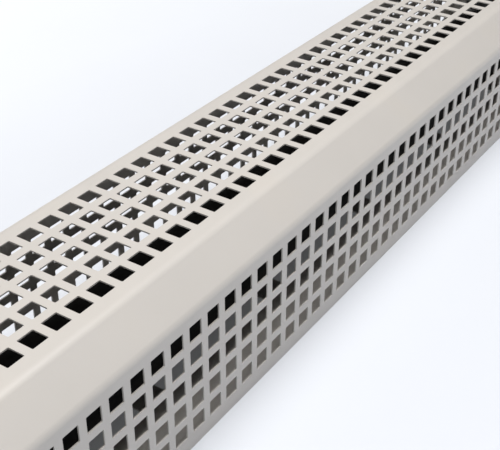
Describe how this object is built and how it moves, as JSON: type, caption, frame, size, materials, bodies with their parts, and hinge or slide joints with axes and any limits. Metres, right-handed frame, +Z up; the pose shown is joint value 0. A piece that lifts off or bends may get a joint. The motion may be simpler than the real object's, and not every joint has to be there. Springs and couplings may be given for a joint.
{
  "type": "electric baseboard heater",
  "caption": "Low white baseboard heater: a folded sheet hood with rows of square holes over a black tubular heating element.",
  "frame": {"origin": "on the floor, at the middle of the base tray's underside, which is also the middle of the four floor screws", "axes": "+X along the heater towards the end with the thermostat and the cable gland, -Y towards the room, +Z up"},
  "size_m": [0.719, 0.0996, 0.085],
  "materials": {
    "casing_paint": "satin cream-white powder coat",
    "tube_enamel": "satin black enamel",
    "plated_steel": "zinc plated",
    "element_sheath": "heat-stained nickel alloy",
    "insulator": "unglazed white ceramic",
    "black_moulding": "fine-textured moulding",
    "brass": "machined",
    "seal_rubber": "moulded",
    "bulb_copper": "drawn copper",
    "wire_brown": "silicone insulation",
    "wire_blue": "silicone insulation",
    "wire_green": "silicone insulation"
  },
  "bodies": {
    "casing": {"perforated_hood": "casing_paint", "base_tray": "casing_paint", "end_cap_left": "casing_paint", "end_cap_right": "casing_paint", "cover_screws": "plated_steel", "end_cap_screws": "plated_steel", "heater_tube": "tube_enamel", "tube_plug_left": "black_moulding", "tube_plug_right": "black_moulding", "heating_element": "element_sheath", "element_seals": "insulator", "element_pins": "plated_steel", "element_spacers": "insulator", "tube_saddles": "plated_steel", "tube_straps": "plated_steel", "strap_screws": "plated_steel", "strap_nuts": "plated_steel", "terminal_block": "insulator", "terminal_inserts": "brass", "terminal_screws": "plated_steel", "weld_studs": "plated_steel", "block_nut": "plated_steel", "earth_washer": "plated_steel", "earth_nut": "plated_steel", "gland_body": "black_moulding", "gland_locknut": "black_moulding", "gland_seal": "seal_rubber", "gland_dome_nut": "black_moulding", "thermostat_body": "black_moulding", "thermostat_tabs": "brass", "thermostat_nut": "plated_steel", "sensing_bulb": "bulb_copper", "bulb_clips": "plated_steel", "overheat_cutout": "black_moulding", "cutout_tabs": "brass", "live_wires": "wire_brown", "neutral_wire": "wire_blue", "earth_wire": "wire_green"},
    "knob": {"thermostat_spindle": "plated_steel", "thermostat_knob": "black_moulding"}
  },
  "joints": [
    {"name": "thermostat_turn", "type": "hinge", "parent": "casing", "child": "knob", "pos_m": [0.3492, -0.016, 0.044], "axis": [-1, 0, 0], "range_deg": [0, 270]}
  ]
}
